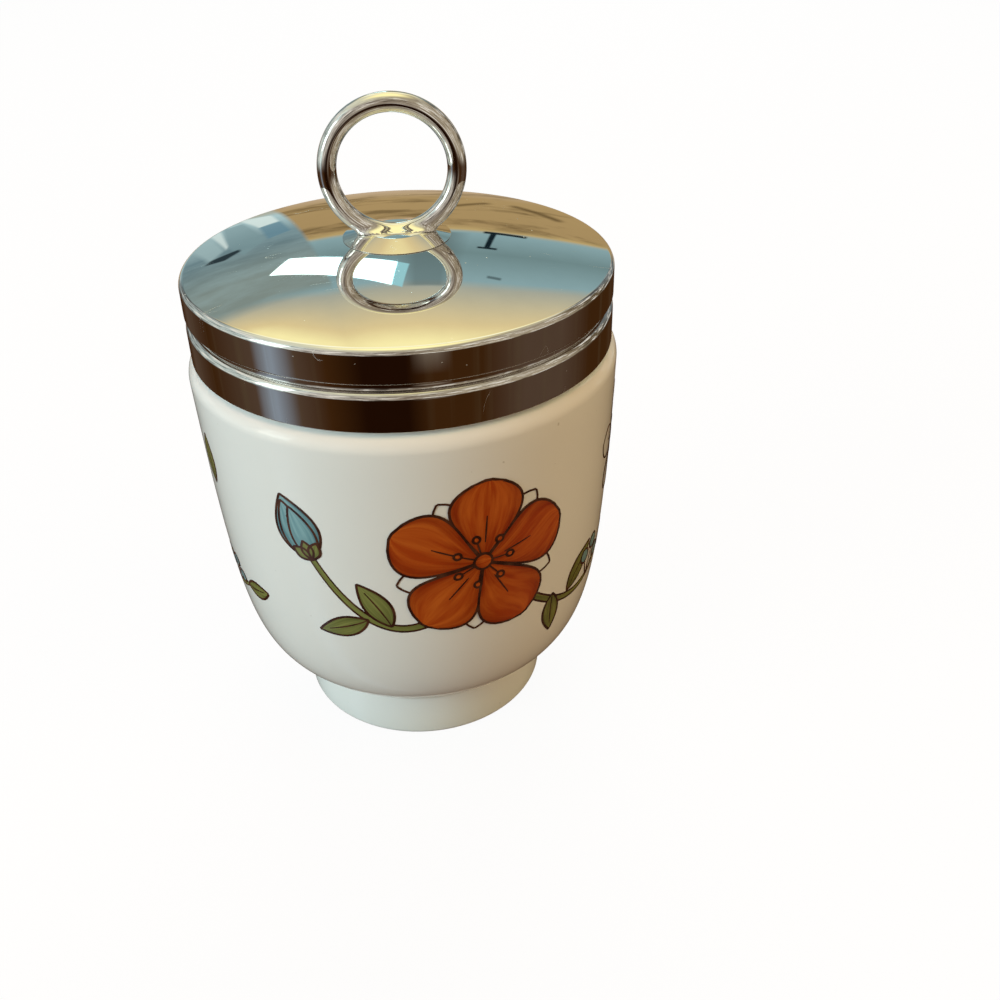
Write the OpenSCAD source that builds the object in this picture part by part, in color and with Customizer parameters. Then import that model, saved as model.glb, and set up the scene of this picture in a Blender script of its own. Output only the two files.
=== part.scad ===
// Egg coddler: a porcelain cup with a moulded neck thread, and a pressed metal lid that
// screws over the neck and carries a ring handle.
// It stands on its foot, +Z up. The origin is the middle of the foot's resting face.
// The ring handle stands in the XZ plane. Lengths are in millimetres.

/* [Cup] */
// Diameter of the foot ring where it stands
foot_d = 43; // [40:0.5:46]
// Height of the foot, up to the crease below the bowl
foot_h = 8; // [7:0.5:10]
// Diameter at the crease between the foot and the bowl
waist_d = 41; // [38:0.5:43]
// Width of the foot ring at its resting face
foot_land = 3.2; // [2.4:0.1:4.4]
// Depth of the hollow under the foot
foot_recess = 3.8; // [2:0.1:4]
// Rounding of the foot ring's lower edges
foot_round = 0.8; // [0.4:0.1:1]
// Diameter at the top of the bowl, where the shoulder starts to round in
shoulder_d = 67.9; // [67.2:0.1:72]
// Height of the shoulder that the closed lid stands over
shoulder_h = 67.4; // [60:0.5:80]
// Rounding of the shoulder
shoulder_round = 1.2; // [0.6:0.1:2]
// Thickness of the porcelain bowl
cup_wall = 3.2; // [2.6:0.1:4]
// Thickness of the porcelain at the middle of the floor
cup_floor = 4.2; // [3:0.1:6]
// Thickness of the neck below its thread
neck_wall = 3; // [2.4:0.1:3.6]
// Rounding of the rim, inside and outside
rim_round = 1; // [0.5:0.1:1.1]

/* [Screw thread] */
// Rise of the thread in one turn
thread_pitch = 4; // [3.6:0.1:5]
// Turns of thread on the neck and in the lid
thread_turns = 1.25; // [1:0.05:1.4]
// Height of a thread ridge above its wall
thread_h = 1; // [0.7:0.1:1.2]
// Width of a thread ridge at its root
thread_root_w = 1.5; // [1.1:0.1:1.8]
// Width of a thread ridge at its crest
thread_crest_w = 0.7; // [0.4:0.1:1]
// Radial clearance between each crest and the wall that it faces
thread_gap = 0.3; // [0.2:0.05:0.5]

/* [Lid] */
// Outer diameter of the lid's skirt
lid_d = 66; // [65.4:0.1:66.6]
// Height of the lid from its lower edge to the middle of its top
lid_h = 15.87; // [15:0.1:18]
// Radius of the domed top
dome_r = 149; // [120:1:260]
// Rounding between the dome and the skirt
corner_r = 1; // [0.7:0.1:1.6]
// Thickness of the pressed sheet
sheet = 0.5; // [0.4:0.05:0.6]
// Height of the plain lower band
lower_band_h = 4.85; // [4:0.05:5.2]
// Radius of the rolled shoulder above the lower band
bead_r = 1.15; // [1:0.05:1.3]
// Depth of the groove between the two bands
groove_depth = 0.95; // [0.6:0.05:1]
// Height of the groove's straight root
groove_h = 1.2; // [1:0.05:1.5]
// Rounding of the upper band's lower edge
lip_r = 0.4; // [0.2:0.05:0.5]
// Thickness of the hem turned in under the threaded liner
hem_t = 0.4; // [0.3:0.05:0.6]
// Gap between the closed lid and the cup's shoulder
seat_gap = 0.3; // [0.2:0.05:0.6]

/* [Liner and seal] */
// Thickness of the threaded liner inside the skirt
liner_wall = 0.85; // [0.7:0.05:1.1]
// Height of the flange that the hem holds
flange_h = 0.9; // [0.6:0.1:1.2]
// Thickness of the sealing washer
seal_t = 0.85; // [0.6:0.05:1.1]
// Width of the sealing washer
seal_w = 4.6; // [3.5:0.1:5.5]

/* [Ring handle] */
// Outer diameter of the ring
ring_d = 21.87; // [18:0.1:28]
// Diameter of the ring's wire
wire_d = 2.85; // [2.2:0.05:3.4]
// How much of the wire is ground flat where it stands on the disc
ring_ground = 1.9; // [1.2:0.1:2.2]
// Diameter of the disc under the ring
disc_d = 16.4; // [14:0.1:20]
// Thickness of the disc at its middle
disc_t = 0.83; // [0.7:0.01:1.2]
// Rounding of the disc's upper edge
disc_round = 0.55; // [0.3:0.05:0.6]
// Diameter of the rivet's shank
rivet_d = 3; // [2.4:0.1:3.4]
// Diameter of the rivet's countersunk head and of its turned-over tail
rivet_head_d = 4.6; // [4.2:0.1:5.4]
// Height of the rivet's tail below its washer
rivet_tail_h = 0.9; // [0.7:0.1:1.4]
// Diameter of the washer inside the lid
washer_d = 9; // [7.5:0.1:12]
// Thickness of the washer inside the lid
washer_t = 0.8; // [0.5:0.1:1.2]

/* [Hidden] */

$fn = 96;
fit = 0.05; // small gap where one piece of the lid is held by another
curve_steps = 32; // points along each long curve
round_steps = 6; // points along each small rounding
short_steps = 12; // points along the inside's curves at the floor and at the throat
thread_steps = 40; // rings in one turn of a thread ridge
thread_fade = 45; // degrees over which a ridge runs out at each end
thread_sunk = 0.35; // how far a ridge's root reaches into its wall
thread_end = 0.3; // a ridge's height at its very end, in steps of its run-out
thread_above = 2.9; // height of the neck thread's start above the shoulder
liner_thread_above = 2.7; // height of the liner thread's start above the shoulder
bowl_pull = [8.6, 9]; // from the crease to the control point that swells the bowl
wall_pull = [-1.65, -57]; // from the shoulder down to the control point that tapers the wall
corner_pull = 2.2; // reach of the round between the floor and the bowl, inside
floor_flat = 0.6; // share of the floor's width that its curve keeps nearly level
throat_drop = 9; // height over which the inside draws in, below the shoulder's rounding
throat_above = 1; // height above the shoulder where the mouth becomes straight
throat_ease = 0.45; // share of the throat's height that each of its ends keeps nearly upright
neck_chamfer = 0.4; // chamfer at the root of the neck
tail_taper = 0.6; // how much smaller in radius the rivet's tail is at its tip

// The lid, from its lower edge up
lid_r = lid_d / 2;
hem_z = shoulder_h + seat_gap;
apex_z = hem_z + lid_h;
dome_z = apex_z - dome_r; // height of the dome's centre
bead_z = hem_z + lower_band_h;
groove_r = lid_r - groove_depth;
bead_end = acos(1 - groove_depth / bead_r);
groove_z = bead_z + bead_r * sin(bead_end);
lip_z = groove_z + groove_h;

// The liner inside it, and the neck inside the liner
liner_r = groove_r - sheet - fit;
bore_r = liner_r - liner_wall;
flange_r = lid_r - sheet - fit;
liner_z = hem_z + hem_t + fit;
neck_r = bore_r - thread_gap - thread_h;
mouth_r = neck_r - neck_wall;

// The seal under the dome, and the rim under the seal
seal_r = liner_r - fit;
seal_top = under_dome(seal_r) - fit;
rim_z = seal_top - seal_t - fit;
liner_top = rim_z - 2 * fit;

// The bowl
floor_z = foot_recess + cup_floor;
waist_r = waist_d / 2;
shoulder_r = shoulder_d / 2;
bowl_top = [shoulder_r, shoulder_h - shoulder_round];
bowl_line = [[waist_r, foot_h], [waist_r, foot_h] + bowl_pull, bowl_top + wall_pull, bowl_top];
throat_z = bowl_top[1] - throat_drop; // where the inside starts to draw in to the mouth

// The handle
disc_r = disc_d / 2;
disc_top = apex_z + disc_t;
ring_r = (ring_d - wire_d) / 2;
ring_z = disc_top + ring_d / 2 - ring_ground;
rivet_r = rivet_d / 2;
head_r = rivet_head_d / 2;
head_h = disc_t - 2 * fit;
washer_top = under_dome(washer_d / 2) - fit;
washer_z = washer_top - washer_t;

// Height of the dome's outer face, and of its inner face, at a distance from the axis
function on_dome(r) = dome_z + sqrt(dome_r * dome_r - r * r);
function under_dome(r) = dome_z + sqrt(pow(dome_r - sheet, 2) - r * r);

// Points on an arc round a centre, from one angle to another
function arc(centre, r, from, to, steps = round_steps) =
    [for (i = [0:steps]) let (a = from + (to - from) * i / steps) centre + r * [cos(a), sin(a)]];

// A point on the cubic curve of four control points, and its direction there
function bezier(p, t) =
    pow(1 - t, 3) * p[0] + 3 * pow(1 - t, 2) * t * p[1] + 3 * (1 - t) * t * t * p[2] + pow(t, 3) * p[3];
function bezier_way(p, t) =
    let (d = pow(1 - t, 2) * (p[1] - p[0]) + 2 * (1 - t) * t * (p[2] - p[1]) + t * t * (p[3] - p[2]))
    d / norm(d);
function curve(p, steps = curve_steps) = [for (i = [0:steps]) bezier(p, i / steps)];

// A point set in from the bowl's outer line by the wall's thickness
function inside(t) = let (d = bezier_way(bowl_line, t)) bezier(bowl_line, t) + cup_wall * [-d[1], d[0]];

// A list the other way round
function reversed(list) = [for (i = [len(list) - 1:-1:0]) list[i]];

// The sheet's dome and corner, from the axis out to the skirt, set in by a distance
function dome_line(inset) =
    let (corner = [lid_r - corner_r, dome_z + sqrt(pow(dome_r - corner_r, 2) - pow(lid_r - corner_r, 2))],
         tip = acos((lid_r - corner_r) / (dome_r - corner_r)))
    concat(arc([0, dome_z], dome_r - inset, 90, tip, curve_steps),
           arc(corner, corner_r - inset, tip, 0));

// A helical ridge on a round wall. It stands out where tip_r is the larger radius, and in where it
// is the smaller. It climbs from z0 at start_turn, and runs out into the wall at both ends.
module thread_ridge(wall_r, tip_r, z0, start_turn) {
    side = sign(tip_r - wall_r);
    root_r = wall_r - side * thread_sunk;
    last = ceil(thread_turns * thread_steps);
    fade = thread_fade / 360 * thread_steps;
    section = [[0, -thread_root_w / 2], [1, -thread_crest_w / 2],
               [1, thread_crest_w / 2], [0, thread_root_w / 2]];
    points = [for (i = [0:last], c = section)
        let (a = (start_turn + i / thread_steps) * 360,
             out = min(1, (i + thread_end) / fade, (last - i + thread_end) / fade),
             r = root_r + (tip_r - root_r) * c[0] * out)
        [r * cos(a), r * sin(a), z0 + thread_pitch * i / thread_steps + c[1]]];
    // Two triangles on each side of each step, and two on each end
    sides = [for (i = [0:last - 1], k = [0:3])
        let (a = 4 * i, next = (k + 1) % 4)
        [a + k, a + next, a + 4 + next, a + 4 + k]];
    quads = concat(sides, [[3, 2, 1, 0], [for (k = [0:3]) 4 * last + k]]);
    faces = [for (q = quads, half = [[0, 1, 2], [0, 2, 3]]) [for (h = half) q[side > 0 ? h : 3 - h]]];
    polyhedron(points, faces, convexity = 6);
}

// Glazed porcelain: a round bowl on a short foot ring, with a plain neck under the thread
module cup() {
    foot_in = foot_d / 2 - foot_land;
    // Inside, from the floor up: a curve out to the bowl's wall, the wall, and a curve in to the mouth
    floor_end = inside(0);
    floor_curve = [[0, floor_z], [floor_end[0] * floor_flat, floor_z],
                   floor_end - corner_pull * bezier_way(bowl_line, 0), floor_end];
    wall_line = [for (i = [0:curve_steps]) let (p = inside(i / curve_steps)) if (p[1] < throat_z) p];
    throat_start = wall_line[len(wall_line) - 1];
    throat_end = [mouth_r, shoulder_h + throat_above];
    throat_pull = [0, (throat_end[1] - throat_start[1]) * throat_ease];
    throat_curve = [throat_start, throat_start + throat_pull, throat_end - throat_pull, throat_end];
    inner_line = concat(curve(floor_curve, short_steps), wall_line, curve(throat_curve, short_steps));
    color("ivory") {
        rotate_extrude()
            polygon(concat(
                [[0, foot_recess], [foot_in - foot_round, foot_recess], [foot_in, foot_recess - foot_round]],
                arc([foot_in + foot_round, foot_round], foot_round, 180, 270),
                arc([foot_d / 2 - foot_round, foot_round], foot_round, 270, 360),
                curve(bowl_line),
                arc([shoulder_r - shoulder_round, bowl_top[1]], shoulder_round, 0, 90),
                [[neck_r + neck_chamfer, shoulder_h], [neck_r, shoulder_h + neck_chamfer]],
                arc([neck_r - rim_round, rim_z - rim_round], rim_round, 0, 90),
                arc([mouth_r + rim_round, rim_z - rim_round], rim_round, 90, 180),
                reversed(inner_line)));
        thread_ridge(neck_r, neck_r + thread_h, shoulder_h + thread_above, 0);
    }
}

// One pressed and polished sheet: domed top, plain upper band, rolled groove, plain lower band and hem
module lid_shell() {
    under = lid_r - sheet;
    waist = groove_r - sheet;
    hem_r = liner_r - liner_wall / 2;
    color("silver")
        difference() {
            rotate_extrude()
                polygon(concat(
                    dome_line(0),
                    arc([lid_r - lip_r, lip_z + lip_r], lip_r, 0, -90),
                    [[groove_r, lip_z]],
                    arc([lid_r - bead_r, bead_z], bead_r, bead_end, 0),
                    arc([lid_r - hem_t / 2, hem_z + hem_t / 2], hem_t / 2, 0, -90),
                    [[hem_r, hem_z], [hem_r, hem_z + hem_t], [under, hem_z + hem_t],
                     [under, bead_z - sheet], [waist, bead_z + sheet],
                     [waist, lip_z + sheet], [under, lip_z + 2 * sheet]],
                    reversed(dome_line(sheet))));
            translate([0, 0, apex_z - 2 * sheet])
                cylinder(r = rivet_r + fit, h = 3 * sheet);
        }
}

// Thin metal liner with the lid's thread, its flange held by the shell's hem
module thread_ring() {
    color("gainsboro") {
        rotate_extrude()
            polygon([[bore_r, liner_z], [flange_r, liner_z], [flange_r, liner_z + flange_h],
                     [liner_r, liner_z + flange_h], [liner_r, liner_top], [bore_r, liner_top]]);
        thread_ridge(bore_r, bore_r - thread_h, shoulder_h + liner_thread_above,
            (liner_thread_above - thread_above) / thread_pitch + 0.5);
    }
}

// Flat soft washer that lies loose above the liner and meets the cup's rim
module seal_washer() {
    color("whitesmoke")
        translate([0, 0, seal_top - seal_t])
            difference() {
                cylinder(r = seal_r, h = seal_t);
                translate([0, 0, -seal_t])
                    cylinder(r = seal_r - seal_w, h = 3 * seal_t);
            }
}

// Round wire bent and welded into a ring, ground flat where it stands on the disc
module handle_ring() {
    color("silver")
        difference() {
            translate([0, 0, ring_z])
                rotate([90, 0, 0])
                    rotate_extrude()
                        translate([ring_r, 0])
                            circle(d = wire_d);
            translate([-disc_r, -disc_r, disc_top - ring_d])
                cube([disc_d, disc_d, ring_d]);
        }
}

// Low disc with a rounded edge, dished below to sit on the dome
module handle_disc() {
    color("silver")
        difference() {
            rotate_extrude()
                polygon(concat(
                    [[0, disc_top]],
                    arc([disc_r - disc_round, disc_top - disc_round], disc_round, 90, 0),
                    [for (i = [curve_steps:-1:0])
                        let (r = disc_r * i / curve_steps)
                        [r, on_dome(r) + fit / 2]]));
            translate([0, 0, disc_top - head_h])
                cylinder(r1 = rivet_r + fit, r2 = head_r + fit, h = head_h - fit);
            translate([0, 0, disc_top - fit])
                cylinder(r = head_r + fit, h = 2 * fit);
            translate([0, 0, apex_z - disc_t])
                cylinder(r = rivet_r + fit, h = 2 * disc_t);
        }
}

// Rivet through the disc, the lid and the washer: countersunk above, turned over below
module handle_rivet() {
    tail_z = washer_z - rivet_tail_h;
    color("silver") {
        translate([0, 0, disc_top - head_h])
            cylinder(r1 = rivet_r, r2 = head_r, h = head_h - fit);
        translate([0, 0, tail_z])
            cylinder(r = rivet_r, h = disc_top - head_h - tail_z);
        translate([0, 0, tail_z])
            cylinder(r1 = head_r - tail_taper, r2 = head_r, h = rivet_tail_h - fit);
    }
}

// Flat washer that spreads the rivet's pull inside the lid
module backing_washer() {
    color("silver")
        translate([0, 0, washer_z])
            difference() {
                cylinder(d = washer_d, h = washer_t);
                translate([0, 0, -washer_t])
                    cylinder(r = rivet_r + fit, h = 3 * washer_t);
            }
}

cup();
lid_shell();
thread_ring();
seal_washer();
handle_ring();
handle_disc();
handle_rivet();
backing_washer();
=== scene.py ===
"""The looks of an egg coddler: a printed porcelain cup, and a polished screw lid with a ring handle.

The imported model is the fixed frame. Lengths are in metres. The object stands on its foot, +Z up,
with the middle of the foot's resting face at the origin.
"""

import math

import bpy
import numpy as np
from mathutils import Matrix, Vector


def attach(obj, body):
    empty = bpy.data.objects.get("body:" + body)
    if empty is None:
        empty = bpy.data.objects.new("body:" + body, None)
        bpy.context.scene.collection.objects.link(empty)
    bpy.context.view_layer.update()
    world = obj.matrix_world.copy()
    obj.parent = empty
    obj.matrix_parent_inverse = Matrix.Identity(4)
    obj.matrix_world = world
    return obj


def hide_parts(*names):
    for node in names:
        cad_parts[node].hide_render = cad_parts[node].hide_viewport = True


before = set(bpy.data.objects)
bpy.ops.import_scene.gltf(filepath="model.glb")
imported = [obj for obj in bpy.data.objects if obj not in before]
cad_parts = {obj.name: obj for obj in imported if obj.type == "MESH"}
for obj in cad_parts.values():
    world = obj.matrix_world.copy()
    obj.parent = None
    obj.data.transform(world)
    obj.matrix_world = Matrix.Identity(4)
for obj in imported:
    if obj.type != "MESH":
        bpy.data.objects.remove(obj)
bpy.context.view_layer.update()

# ---------------------------------------------------------------------------------------------
# Cup
# A round bowl on a short foot ring, cast in porcelain and glazed all over, except for the face
# that it was fired on. Its plain neck carries a moulded thread for the lid.

foot_radius, foot_height, foot_land, foot_recess = 0.0215, 0.008, 0.0032, 0.0038
foot_round = 0.0008
foot_wall = [(foot_radius, 0.0009), (foot_radius, 0.003), (0.0209, 0.0055), (0.0207, 0.0074)]
crease_foot = [(0.0207, 0.0075), (0.02066, 0.0078)]
bowl_line = [(0.0205, 0.008), (0.0291, 0.017), (0.0323, 0.0092), (0.03395, 0.0662)]
bowl_steps, crease_share = 48, 0.03
bowl_wall, bowl_floor = 0.0032, 0.008
floor_edge, floor_ease, floor_flat = np.array([0.01819, 0.01021]), 0.0022, 0.6
shoulder_round, shoulder_height, neck_fillet = 0.0028, 0.0674, 0.0016
neck_radius, mouth_radius = 0.02935, 0.02635
rim_height, rim_round = 0.07875, 0.001
throat_start, throat_end = 0.0572, 0.0684
thread_pitch, thread_turns, thread_height = 0.004, 1.25, 0.001
thread_root, thread_crest, thread_fade = 0.00135, 0.0006, 0.125
neck_thread_start = shoulder_height + 0.0029
glaze_white = (0.80, 0.79, 0.765)
# Painted shade: a darker copy of the glaze white, laid into the crease between foot and bowl
glaze_crease_shade = (0.66, 0.645, 0.60)
glaze_speck = (0.22, 0.17, 0.12)
glaze_bend = 1.52
bare_clay = (0.62, 0.58, 0.50)


def arc(centre, radius, start, end, steps=8):
    """Profile points on an arc, its angles in degrees from straight outwards."""
    return [(centre[0] + radius * math.cos(a), centre[1] + radius * math.sin(a))
            for a in np.radians(np.linspace(start, end, steps + 1))]


def curve(pulls, steps, start=0.0, end=1.0):
    """Profile points on the cubic curve of four points."""
    p = np.array(pulls)
    return [tuple((1 - t) ** 3 * p[0] + 3 * (1 - t) ** 2 * t * p[1] + 3 * (1 - t) * t * t * p[2] + t ** 3 * p[3])
            for t in np.linspace(start, end, steps + 1)]


def softened(corners, radius, steps=4, closed=False, hold=0.00005):
    """The profile through these corners, each rounded, with a point close by on both sides to keep the flats flat."""
    p = [np.array(c, float) for c in corners]
    made = [] if closed else [tuple(p[0])]
    for i in range(len(p)) if closed else range(1, len(p) - 1):
        before, here, after = p[i - 1], p[i], p[(i + 1) % len(p)]
        back, on = before - here, after - here
        reach = min(radius, 0.4 * np.linalg.norm(back), 0.4 * np.linalg.norm(on))
        back, on = back / np.linalg.norm(back), on / np.linalg.norm(on)
        a, b = here + back * reach, here + on * reach
        bend = [tuple((1 - t) ** 2 * a + 2 * t * (1 - t) * here + t * t * b) for t in np.linspace(0, 1, steps + 1)]
        made += [tuple(a + back * min(hold, reach * 0.2)), *bend, tuple(b + on * min(hold, reach * 0.2))]
    return made + ([made[0]] if closed else [tuple(p[-1])])


def threaded(points, wall_radius, step=0.00012):
    """The profile with close points on the wall that carries the thread, and a mark on each of them."""
    made = []
    for a, b in zip(points, points[1:] + points[-1:]):
        on_wall = abs(a[0] - wall_radius) < 1e-7 and abs(b[0] - wall_radius) < 1e-7
        made.append((*a, 1.0 if on_wall else 0.0))
        count = int(abs(a[1] - b[1]) / step) if on_wall else 0
        made += [(wall_radius, a[1] + (b[1] - a[1]) * i / count, 1.0) for i in range(1, count)]
    return made


def wire(tree, kind, sockets=(), **settings):
    """A node of one kind with its settings, its sockets linked or set."""
    made = tree.nodes.new(kind)
    for name, value in settings.items():
        setattr(made, name, value)
    for name, value in dict(sockets).items():
        if isinstance(value, bpy.types.NodeSocket):
            tree.links.new(value, made.inputs[name])
        else:
            made.inputs[name].default_value = value
    return made


def sums(tree, operation, a, b=0.0, c=0.0):
    """The result of one Math node."""
    return wire(tree, "ShaderNodeMath", {0: a, 1: b, 2: c}, operation=operation).outputs[0]


def product(tree, *values):
    """Several values multiplied together."""
    made = values[0]
    for value in values[1:]:
        made = sums(tree, "MULTIPLY", made, value)
    return made


def placed(name, data):
    """An object of this data in the scene."""
    made = bpy.data.objects.new(name, data)
    bpy.context.scene.collection.objects.link(made)
    return made


def turned_form():
    """The node tree that turns a profile about the Z axis, with a thread ridge on its marked points."""
    tree = bpy.data.node_groups.new("Turned form", "GeometryNodeTree")
    tree.is_modifier = True
    tree.interface.new_socket("Turned", in_out="OUTPUT", socket_type="NodeSocketGeometry")
    for name, kind in (("Profile", "Geometry"), ("Segments", "Int"), ("Thread Height", "Float"),
                       ("Thread Pitch", "Float"), ("Thread Turns", "Float"), ("Thread Root", "Float"),
                       ("Thread Crest", "Float"), ("Thread Fade", "Float"), ("Start Height", "Float"),
                       ("Start Turn", "Float"), ("Finish", "Material")):
        tree.interface.new_socket(name, in_out="INPUT", socket_type="NodeSocket" + kind)
    given = wire(tree, "NodeGroupInput").outputs

    # A grid of one column of the profile's points for each segment
    count = wire(tree, "GeometryNodeAttributeDomainSize", {"Geometry": given["Profile"]}).outputs["Point Count"]
    grid = wire(tree, "GeometryNodeMeshGrid", {
        "Vertices X": sums(tree, "ADD", given["Segments"], 1.0), "Vertices Y": count})
    index = wire(tree, "GeometryNodeInputIndex").outputs[0]
    column = sums(tree, "FLOOR", sums(tree, "DIVIDE", sums(tree, "ADD", index, 0.5), count))
    row = sums(tree, "SUBTRACT", index, product(tree, column, count))
    place = wire(tree, "GeometryNodeSampleIndex", {
        "Geometry": given["Profile"], "Index": row,
        "Value": wire(tree, "GeometryNodeInputPosition").outputs[0]}, data_type="FLOAT_VECTOR")
    mark = wire(tree, "GeometryNodeSampleIndex", {
        "Geometry": given["Profile"], "Index": row,
        "Value": wire(tree, "GeometryNodeInputNamedAttribute", {"Name": "thread"}, data_type="FLOAT").outputs[0]})
    at = wire(tree, "ShaderNodeSeparateXYZ", {0: place.outputs[0]}).outputs
    turn = sums(tree, "DIVIDE", column, given["Segments"])

    # How far along the thread the nearest pass of the ridge is, and how far from its middle
    climbed = sums(tree, "DIVIDE", sums(tree, "SUBTRACT", at["Z"], given["Start Height"]), given["Thread Pitch"])
    since = sums(tree, "SUBTRACT", turn, given["Start Turn"])
    passes = sums(tree, "ROUND", sums(tree, "SUBTRACT", climbed, since))
    along = sums(tree, "ADD", since, passes)
    off = product(tree, sums(tree, "ABSOLUTE", sums(tree, "SUBTRACT", climbed, along)), given["Thread Pitch"])
    flank = wire(tree, "ShaderNodeMapRange", {
        "Value": off, "From Min": product(tree, given["Thread Root"], 0.5),
        "From Max": product(tree, given["Thread Crest"], 0.5), "To Min": 0.0, "To Max": 1.0},
        interpolation_type="SMOOTHSTEP").outputs[0]
    left = sums(tree, "MINIMUM", along, sums(tree, "SUBTRACT", given["Thread Turns"], along))
    run_out = wire(tree, "ShaderNodeMapRange", {"Value": left, "From Max": given["Thread Fade"]},
                   interpolation_type="SMOOTHSTEP").outputs[0]
    ridge = product(tree, product(tree, flank, run_out), product(tree, mark.outputs[0], given["Thread Height"]))

    radius = sums(tree, "ADD", at["X"], ridge)
    angle = product(tree, turn, 2 * math.pi)
    point = wire(tree, "ShaderNodeCombineXYZ", {
        "X": product(tree, radius, sums(tree, "COSINE", angle)),
        "Y": product(tree, radius, sums(tree, "SINE", angle)), "Z": at["Z"]}).outputs[0]
    form = wire(tree, "GeometryNodeSetPosition", {"Geometry": grid.outputs["Mesh"], "Position": point}).outputs[0]
    form = wire(tree, "GeometryNodeMergeByDistance", {0: form, "Distance": 0.000001}).outputs[0]
    form = wire(tree, "GeometryNodeSetShadeSmooth", {0: form, "Shade Smooth": True}).outputs[0]
    form = wire(tree, "GeometryNodeRealizeInstances", {0: form}).outputs[0]
    form = wire(tree, "GeometryNodeSetMaterial", {0: form, "Material": given["Finish"]}).outputs[0]
    wire(tree, "NodeGroupOutput", {0: form})
    return tree


turned_tree = turned_form()


def turn(name, points, finish, segments=224, **thread):
    """A turned piece: its profile goes round from inside to outside, so that its faces point outwards."""
    profile = bpy.data.meshes.new(name + "_profile")
    profile.from_pydata([(p[0], 0, p[1]) for p in points], [(i, i + 1) for i in range(len(points) - 1)], [])
    marks = profile.attributes.new("thread", "FLOAT", "POINT")
    marks.data.foreach_set("value", [p[2] if len(p) > 2 else 0.0 for p in points])
    holder = placed(name + "_profile", profile)
    modifier = holder.modifiers.new("Turned form", "NODES")
    modifier.node_group = turned_tree
    given = {"Segments": segments, "Thread Pitch": thread_pitch, "Thread Turns": thread_turns,
             "Thread Root": thread_root, "Thread Crest": thread_crest, "Thread Fade": thread_fade,
             "Thread Height": 0.0, "Start Height": 0.0, "Start Turn": 0.0, "Finish": finish, **thread}
    for label, value in given.items():
        modifier[turned_tree.interface.items_tree[label].identifier] = value
    ready = holder.evaluated_get(bpy.context.evaluated_depsgraph_get())
    mesh = bpy.data.meshes.new_from_object(ready)
    mesh.name = name
    mesh.materials.clear()
    mesh.materials.append(finish)
    mesh.polygons.foreach_set("material_index", [0] * len(mesh.polygons))
    bpy.data.objects.remove(holder)
    return placed(name, mesh)


def new_finish(name):
    """A material with its Principled shader and its object coordinates."""
    material = bpy.data.materials.new(name)
    material.use_nodes = True
    tree = material.node_tree
    shader = tree.nodes["Principled BSDF"]
    here = wire(tree, "ShaderNodeTexCoord").outputs["Object"]
    return material, tree, shader, here


def noise(tree, at, scale, detail=2.0, rough=0.5, stretch=None):
    """A Noise texture's value at a place, stretched along the axes if told."""
    if stretch:
        at = wire(tree, "ShaderNodeMapping", {"Vector": at, "Scale": stretch}).outputs[0]
    return wire(tree, "ShaderNodeTexNoise", {
        "Vector": at, "Scale": scale, "Detail": detail, "Roughness": rough}).outputs[0]


def spread(tree, value, low, high, to_low=0.0, to_high=1.0, kind="LINEAR"):
    """A value mapped from one range to another."""
    return wire(tree, "ShaderNodeMapRange", {"Value": value, "From Min": low, "From Max": high, "To Min": to_low,
                                             "To Max": to_high}, interpolation_type=kind).outputs[0]


def blended(tree, share, first, second):
    """Two colours mixed by a share."""
    return wire(tree, "ShaderNodeMix", {0: share, 6: (*first, 1) if isinstance(first, tuple) else first,
                                        7: (*second, 1) if isinstance(second, tuple) else second},
                data_type="RGBA").outputs[2]


def relief(tree, shader, height, strength, distance):
    """Fine relief on a shader."""
    bump = wire(tree, "ShaderNodeBump", {"Height": height, "Strength": strength, "Distance": distance})
    tree.links.new(bump.outputs[0], shader.inputs["Normal"])


def glazed_porcelain():
    """Warm white glaze with faint cloudiness and waves, painted shade darkening the crease, and a bare matt foot."""
    material, tree, shader, here = new_finish("Glazed porcelain")
    height = wire(tree, "ShaderNodeSeparateXYZ", {0: here}).outputs["Z"]
    cloud = spread(tree, noise(tree, here, 55, 3), 0.35, 0.65, 0, 0.35)
    colour = blended(tree, cloud, glaze_white, tuple(c * 0.965 for c in glaze_white))
    # Painted shade: the glaze turns darker in a narrow band round the crease between foot and bowl
    from_crease = sums(tree, "ABSOLUTE", sums(tree, "SUBTRACT", height, foot_height - 0.0001))
    crease = spread(tree, from_crease, 0.0006, 0.0, 0, 0.75, "SMOOTHSTEP")
    colour = blended(tree, crease, colour, glaze_crease_shade)
    speck = spread(tree, noise(tree, here, 1300, 0), 0.87, 0.9, 0, 0.3)
    colour = blended(tree, speck, colour, glaze_speck)
    ragged = sums(tree, "ADD", height, product(tree, noise(tree, here, 400), 0.0003))
    bare = spread(tree, ragged, 0.0005, 0.00035)
    colour = blended(tree, bare, colour, bare_clay)
    tree.links.new(colour, shader.inputs["Base Color"])
    gloss = spread(tree, noise(tree, here, 90, 4), 0.3, 0.7, 0.03, 0.07)
    tree.links.new(sums(tree, "ADD", gloss, product(tree, bare, 0.6)), shader.inputs["Roughness"])
    shader.inputs["IOR"].default_value = glaze_bend
    waves = sums(tree, "ADD", noise(tree, here, 120, 1), product(tree, noise(tree, here, 900, 1), 0.12))
    relief(tree, shader, waves, 0.25, 0.00006)
    return material


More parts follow.
